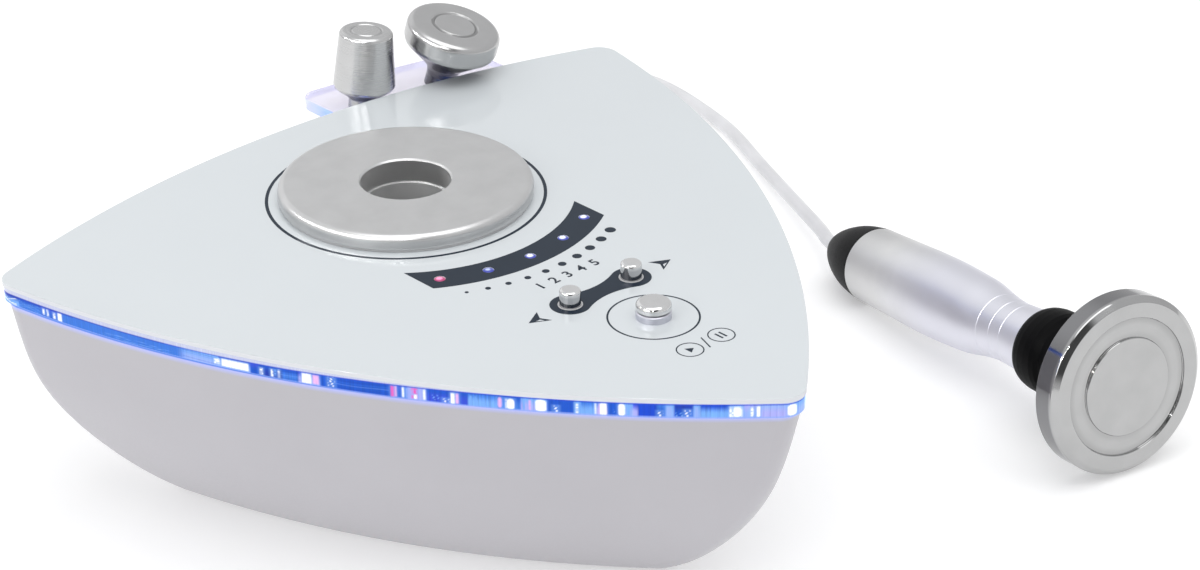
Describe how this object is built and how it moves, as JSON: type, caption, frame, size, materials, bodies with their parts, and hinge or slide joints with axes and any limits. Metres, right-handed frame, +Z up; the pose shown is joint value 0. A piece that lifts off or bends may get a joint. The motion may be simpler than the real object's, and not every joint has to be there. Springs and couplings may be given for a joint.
{
  "type": "rf facial device",
  "caption": "Desktop radio-frequency facial device: rounded triangular console with docking disc and push buttons, spare heads on a clear rear shelf, corded handpiece with disc head.",
  "frame": {"origin": "on the floor, on the axis of the docking disc, at the underside of the rubber foot below it", "axes": "+Z up along the dock's bore, -Y towards the console's front tip, +X towards the handpiece's side"},
  "size_m": [0.3484, 0.3401, 0.0984],
  "materials": {
    "panel_white": "gloss",
    "clear_acrylic": "gloss",
    "shell_mauve": "satin",
    "base_grey": "matte",
    "satin_aluminium": "satin",
    "bright_chrome": "polished",
    "satin_steel": "satin",
    "plain_steel": "satin",
    "black_plastic": "satin",
    "black_rubber": "matte",
    "grey_rubber": "matte",
    "circuit_board": "satin",
    "dark_parts": "satin",
    "winding": "satin",
    "lamp_resin": "gloss",
    "contact_brass": "satin",
    "cord_white": "satin"
  },
  "bodies": {
    "console": {"base_plate": "base_grey", "board_posts": "base_grey", "board_screws": "plain_steel", "button_carrier": "base_grey", "capacitors": "dark_parts", "case_screws": "plain_steel", "contact_pins": "contact_brass", "control_board": "circuit_board", "cord_coil": "cord_white", "cord_lead": "cord_white", "cord_plug": "black_plastic", "cord_tail": "cord_white", "cord_tie": "black_rubber", "dc_inlet": "black_plastic", "dock_cup": "satin_aluminium", "dock_nut": "plain_steel", "dock_ring": "satin_aluminium", "edge_led_strip": "circuit_board", "edge_leds": "lamp_resin", "handpiece_socket": "contact_brass", "head_shelf": "clear_acrylic", "heat_sink": "satin_aluminium", "led_lenses": "clear_acrylic", "level_leds": "lamp_resin", "light_guide": "clear_acrylic", "lower_housing": "shell_mauve", "main_board": "circuit_board", "minus_spring": "plain_steel", "play_bezel": "bright_chrome", "play_spring": "plain_steel", "plug_relief": "grey_rubber", "plus_spring": "plain_steel", "rear_nuts": "plain_steel", "rear_panel": "black_plastic", "rear_screws": "plain_steel", "ribbon_link": "winding", "rubber_feet": "black_rubber", "shelf_screws": "plain_steel", "switch_frame": "black_plastic", "tact_switches": "dark_parts", "top_panel": "panel_white", "transformer_core": "dark_parts", "transformer_winding": "winding"},
    "minus_key": {"minus_button": "bright_chrome"},
    "plus_key": {"plus_button": "bright_chrome"},
    "play_key": {"play_button": "bright_chrome", "play_clip": "plain_steel"},
    "rocker": {"power_rocker": "black_plastic"},
    "eye_tool": {"eye_head": "satin_steel", "eye_head_stud": "satin_steel"},
    "face_tool": {"face_head": "satin_steel", "face_head_stud": "satin_steel"},
    "handpiece": {"handle_sleeve": "satin_aluminium", "tail_cap": "black_plastic", "cord_gland": "grey_rubber", "handle_lead": "cord_white", "neck_collar": "black_plastic", "contact_socket": "contact_brass"},
    "body_tool": {"body_head": "bright_chrome", "body_head_stud": "satin_steel"}
  },
  "joints": [
    {"name": "minus_press", "type": "slide", "parent": "console", "child": "minus_key", "axis": [0, 0, -1], "range_m": [0, 0.0008], "stiffness_N_per_m": 900, "springref_m": -0.0008, "deforming": ["minus_spring"]},
    {"name": "plus_press", "type": "slide", "parent": "console", "child": "plus_key", "axis": [0, 0, -1], "range_m": [0, 0.0008], "stiffness_N_per_m": 900, "springref_m": -0.0008, "deforming": ["plus_spring"]},
    {"name": "play_press", "type": "slide", "parent": "console", "child": "play_key", "axis": [0, 0, -1], "range_m": [0, 0.0005], "stiffness_N_per_m": 1400, "springref_m": -0.0006, "deforming": ["play_spring"]},
    {"name": "power_rock", "type": "hinge", "parent": "console", "child": "rocker", "pos_m": [-0.029, 0.0415, 0.047], "axis": [1, 0, 0], "range_deg": [-20, 0]},
    {"name": "eye_head_lift", "type": "slide", "parent": "console", "child": "eye_tool", "axis": [0.0765, -0.03, 0.9966], "range_m": [0, 0.04]},
    {"name": "face_head_lift", "type": "slide", "parent": "console", "child": "face_tool", "axis": [0.135, -0.245, 0.9601], "range_m": [0, 0.04]},
    {"name": "handpiece_lift", "type": "slide", "parent": "console", "child": "handpiece", "axis": [0, 0, 1], "range_m": [0, 0.06]},
    {"name": "body_head_pull", "type": "slide", "parent": "handpiece", "child": "body_tool", "axis": [-0.2116, -0.9693, 0.1254], "range_m": [0, 0.025]}
  ]
}
